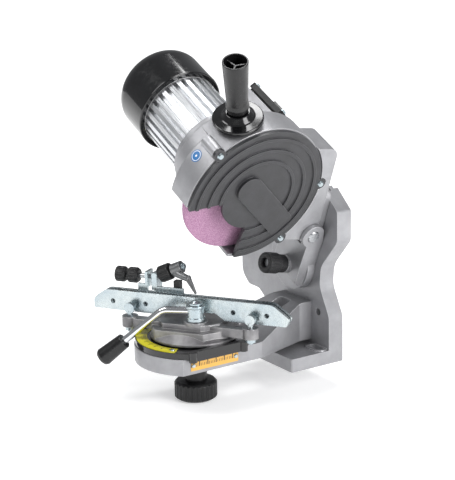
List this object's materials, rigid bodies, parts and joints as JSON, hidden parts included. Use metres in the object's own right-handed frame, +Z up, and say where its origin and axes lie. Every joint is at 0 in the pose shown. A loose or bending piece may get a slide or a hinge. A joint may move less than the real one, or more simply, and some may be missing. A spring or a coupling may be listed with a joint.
{
  "type": "bench grinder",
  "caption": "Saw-chain bench grinder: tilting, pull-down motor head with pink wheel and guard above a swivelling chain vice on a cast wall or bench bracket.",
  "frame": {"origin": "middle of the two bench-bolt slots, on the sole of the foot", "axes": "+X to the operator's right, +Y towards the wall (operator at -Y), +Z up"},
  "size_m": [0.2518, 0.2397, 0.3722],
  "materials": {
    "silver_casting": "satin silver-grey paint on cast aluminium",
    "raw_aluminium": "as-cast and extruded aluminium",
    "black_plastic": "moulded black plastic",
    "rubber": "matt",
    "zinc_plate": "bright zinc plate",
    "chrome": "polished",
    "wheel_grit": "vitrified pink abrasive",
    "yellow_label": "printed",
    "orange_label": "printed"
  },
  "bodies": {
    "base": {"base_bracket": "silver_casting", "support_arm": "silver_casting", "arm_scale": "orange_label", "arm_scale_screws": "zinc_plate"},
    "yoke": {"tilt_yoke": "silver_casting", "tilt_pivot_bolt": "zinc_plate", "tilt_lock_nut": "zinc_plate", "hinge_pin": "zinc_plate"},
    "tilt_lock": {"tilt_lock_screw": "black_plastic"},
    "depth_knob": {"depth_knob": "black_plastic"},
    "depth_stop": {"depth_stop_pin": "zinc_plate"},
    "head": {"wheel_guard": "silver_casting", "guard_cover": "black_plastic", "head_screws": "zinc_plate", "motor_flange": "raw_aluminium", "motor_housing": "raw_aluminium", "fan_cover": "black_plastic", "stator_core": "zinc_plate", "rear_bell": "raw_aluminium", "shaft_bearings": "zinc_plate", "terminal_box": "silver_casting", "terminal_gasket": "rubber", "terminal_lid": "black_plastic", "switch_bezel": "black_plastic", "cable_gland": "black_plastic", "handle_flange": "black_plastic", "handle_grip": "black_plastic"},
    "spindle": {"motor_shaft": "zinc_plate", "rotor_core": "zinc_plate", "cooling_fan": "black_plastic", "inner_flange": "zinc_plate", "grinding_wheel": "wheel_grit", "outer_flange": "zinc_plate", "spindle_nut": "zinc_plate"},
    "switch": {"switch_rocker": "black_plastic"},
    "carrier": {"vice_carrier": "black_plastic", "swivel_scale": "yellow_label", "swivel_scale_screws": "zinc_plate", "clamp_stud": "zinc_plate"},
    "lock_knob": {"lock_knob": "black_plastic", "lock_spacer": "black_plastic"},
    "turret": {"vice_turret": "raw_aluminium", "rear_rail": "zinc_plate", "eye_bolts": "zinc_plate", "eye_bolt_nuts": "zinc_plate", "rail_pins": "zinc_plate", "lever_pivot": "zinc_plate", "stop_bracket": "zinc_plate"},
    "front_jaw": {"front_rail": "zinc_plate"},
    "clamp_lever": {"lever_hub": "zinc_plate", "lever_rod": "chrome", "lever_grip": "black_plastic"},
    "stop_screw": {"stop_screw": "zinc_plate", "stop_knob_outer": "black_plastic", "stop_knob_inner": "black_plastic"},
    "stop_slide": {"stop_carriage": "zinc_plate", "stop_post": "black_plastic", "stop_pivot_pin": "zinc_plate", "stop_pivot_knob": "black_plastic"},
    "stop_finger": {"stop_finger": "silver_casting"}
  },
  "joints": [
    {"name": "head_tilt", "type": "hinge", "parent": "base", "child": "yoke", "pos_m": [0, 0, 0.105], "axis": [0, 1, 0], "range_deg": [-26, 8]},
    {"name": "tilt_lock_turn", "type": "hinge", "parent": "yoke", "child": "tilt_lock", "pos_m": [0.01589, 0, 0.19941], "axis": [0, 1, 0], "range_deg": [-180, 180]},
    {"name": "head_swing", "type": "hinge", "parent": "yoke", "child": "head", "pos_m": [0.03069, -0.0092, 0.14992], "axis": [0.8988, 0, -0.4384], "range_deg": [0, 31], "stiffness_Nm_per_rad": 15, "springref_deg": -22.98},
    {"name": "depth_knob_turn", "type": "hinge", "parent": "yoke", "child": "depth_knob", "pos_m": [0.01131, -0.0444, 0.11019], "axis": [0.112, -0.9668, 0.2296], "range_deg": [-720.5, 0]},
    {"name": "depth_stop_feed", "type": "slide", "parent": "yoke", "child": "depth_stop", "axis": [0.112, -0.9668, 0.2296], "range_m": [-0.0025, 0]},
    {"name": "spindle_spin", "type": "hinge", "parent": "head", "child": "spindle", "pos_m": [0.05879, -0.0973, 0.20753], "axis": [0.8988, 0, -0.4384], "continuous": true},
    {"name": "switch_rock", "type": "hinge", "parent": "head", "child": "switch", "pos_m": [0.03479, -0.04379, 0.27284], "axis": [0.8988, 0, -0.4384], "range_deg": [0, 9]},
    {"name": "vice_shift", "type": "slide", "parent": "base", "child": "carrier", "axis": [0, 1, 0], "range_m": [-0.012, 0.004]},
    {"name": "lock_knob_turn", "type": "hinge", "parent": "carrier", "child": "lock_knob", "pos_m": [0, -0.126, -0.015], "axis": [0, 0, 1], "range_deg": [-180, 180]},
    {"name": "vice_swivel", "type": "hinge", "parent": "carrier", "child": "turret", "pos_m": [0, -0.126, 0.06], "axis": [0, 0, 1], "range_deg": [-70, 0]},
    {"name": "lever_turn", "type": "hinge", "parent": "turret", "child": "clamp_lever", "pos_m": [0.01712, -0.13476, 0.073], "axis": [0, 0, 1], "range_deg": [0, 50]},
    {"name": "jaw_close", "type": "slide", "parent": "turret", "child": "front_jaw", "axis": [-0.5736, 0.8192, 0], "range_m": [0, 0.0016]},
    {"name": "stop_screw_turn", "type": "hinge", "parent": "turret", "child": "stop_screw", "pos_m": [-0.05718, -0.14895, 0.098], "axis": [0.8192, 0.5736, 0], "range_deg": [-1080.5, 1080.5]},
    {"name": "stop_feed", "type": "slide", "parent": "turret", "child": "stop_slide", "axis": [0.8192, 0.5736, 0], "range_m": [-0.003, 0.003]},
    {"name": "finger_flip", "type": "hinge", "parent": "stop_slide", "child": "stop_finger", "pos_m": [-0.04325, -0.1392, 0.101], "axis": [0.7512, 0.526, 0.3987], "range_deg": [0, 100]}
  ],
  "couplings": [
    {"joint": "depth_knob_turn", "follows": "depth_stop_feed", "rad_per_m": 5026.5},
    {"joint": "lever_turn", "follows": "jaw_close", "rad_per_m": 545},
    {"joint": "stop_screw_turn", "follows": "stop_feed", "rad_per_m": 6283.2}
  ]
}
